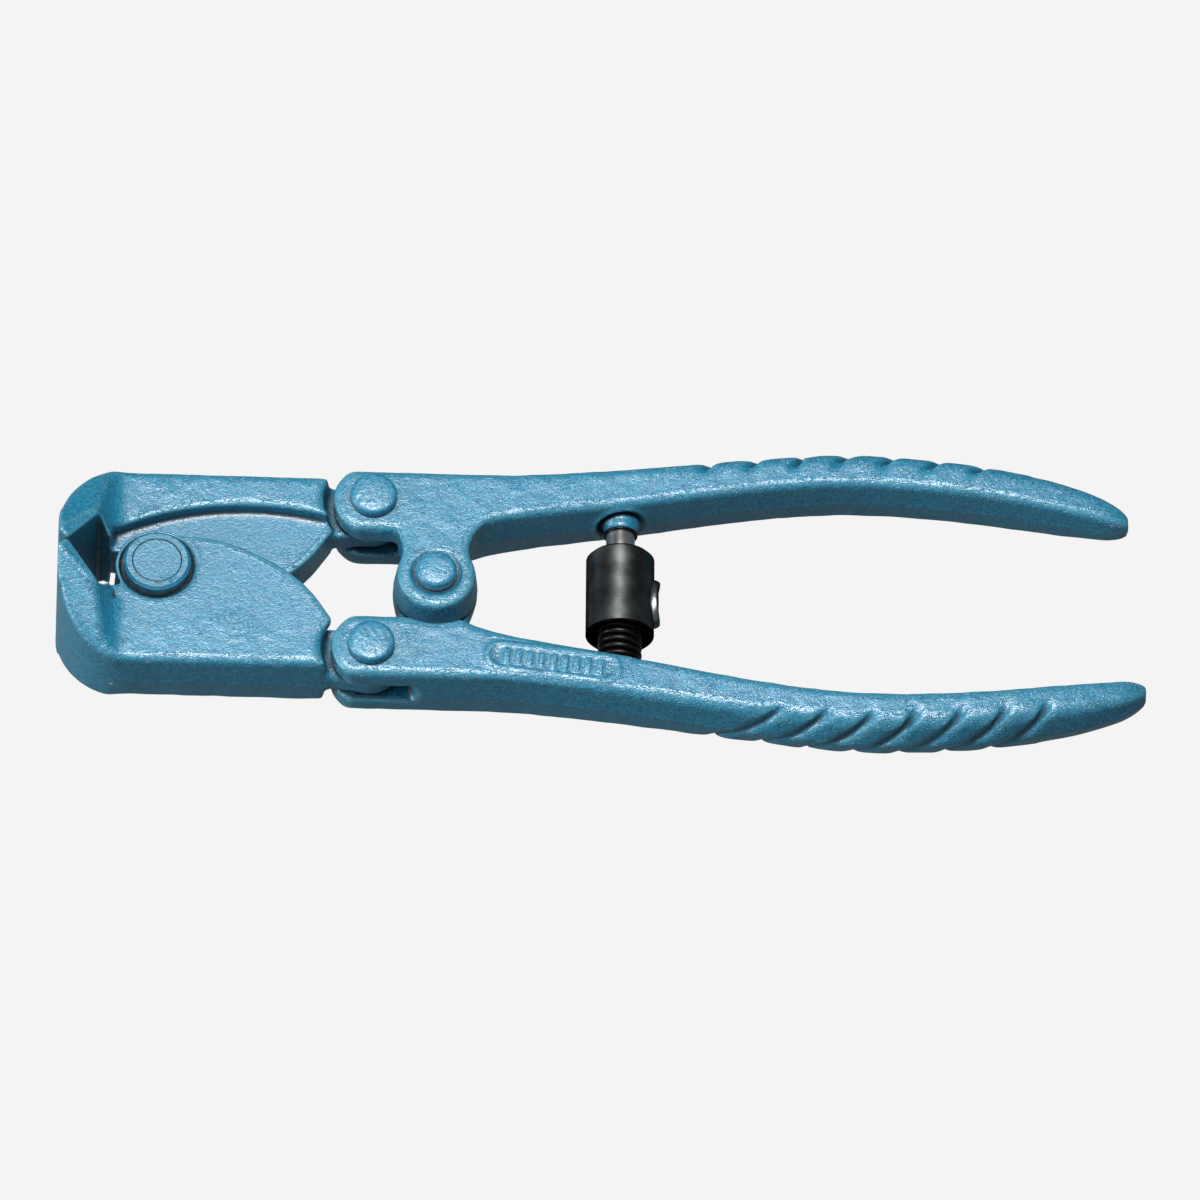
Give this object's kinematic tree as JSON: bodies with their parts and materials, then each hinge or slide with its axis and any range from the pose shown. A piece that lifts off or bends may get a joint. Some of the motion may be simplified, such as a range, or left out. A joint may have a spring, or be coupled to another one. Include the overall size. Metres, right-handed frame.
{
  "type": "compound end-cutting nipper",
  "caption": "Forged end-cutting nipper for hard wire: wide pincer jaws on one pivot, driven through rivetted toggle links by two long curved handles with a sprung stop sleeve between them.",
  "frame": {"origin": "centre of the closed tool's bounding box, on the parting plane of the forgings", "axes": "+X along the tool from the nose to the grips, +Y from the lower to the upper handle, +Z along every pivot"},
  "size_m": [0.2, 0.0612, 0.0332],
  "materials": {
    "forging_lacquer": "blue metallic hammer-tone lacquer on a drop forging",
    "pivot_lacquer": "the same lacquer on a turned washer and pin",
    "rivet_lacquer": "the same lacquer on domed rivet heads",
    "sleeve_black": "blackened turned steel, satin",
    "collar_black": "blackened steel",
    "stud_steel": "bright turned steel",
    "spring_black": "oil-blackened spring wire"
  },
  "bodies": {
    "lower_jaw": {"lower_jaw": "forging_lacquer", "jaw_pivot_pin": "pivot_lacquer", "jaw_washer_front": "pivot_lacquer", "jaw_washer_rear": "pivot_lacquer"},
    "upper_jaw": {"upper_jaw": "forging_lacquer"},
    "lower_handle": {"lower_handle": "forging_lacquer", "lower_link_rivet": "rivet_lacquer", "handle_pivot_rivet": "rivet_lacquer", "spring_guide_pin": "collar_black"},
    "upper_handle": {"upper_handle": "forging_lacquer", "upper_link_rivet": "rivet_lacquer", "stop_stud": "stud_steel", "stud_collar": "collar_black", "thrust_washer": "stud_steel", "return_spring": "spring_black"},
    "spring_sleeve": {"spring_sleeve": "sleeve_black", "sleeve_tab": "sleeve_black"}
  },
  "joints": [
    {"name": "jaw_pivot", "type": "hinge", "parent": "lower_jaw", "child": "upper_jaw", "pos_m": [-0.0818, 0, 0], "axis": [0, 0, 1], "range_deg": [-10.7, 0]},
    {"name": "lower_link", "type": "hinge", "parent": "lower_jaw", "child": "lower_handle", "pos_m": [-0.0423, -0.0157, 0], "axis": [0, 0, 1], "range_deg": [-21.4, 0]},
    {"name": "handle_pivot", "type": "hinge", "parent": "lower_handle", "child": "upper_handle", "pos_m": [-0.0306, 0, 0], "axis": [0, 0, 1], "range_deg": [0, 32], "deforming": ["return_spring"]},
    {"name": "sleeve_turn", "type": "hinge", "parent": "upper_handle", "child": "spring_sleeve", "pos_m": [0.0034, 0, 0], "axis": [0, 1, 0], "continuous": true}
  ],
  "couplings": [
    {"joint": "jaw_pivot", "follows": "handle_pivot", "ratio": -0.3342},
    {"joint": "lower_link", "follows": "handle_pivot", "ratio": -0.6671}
  ]
}
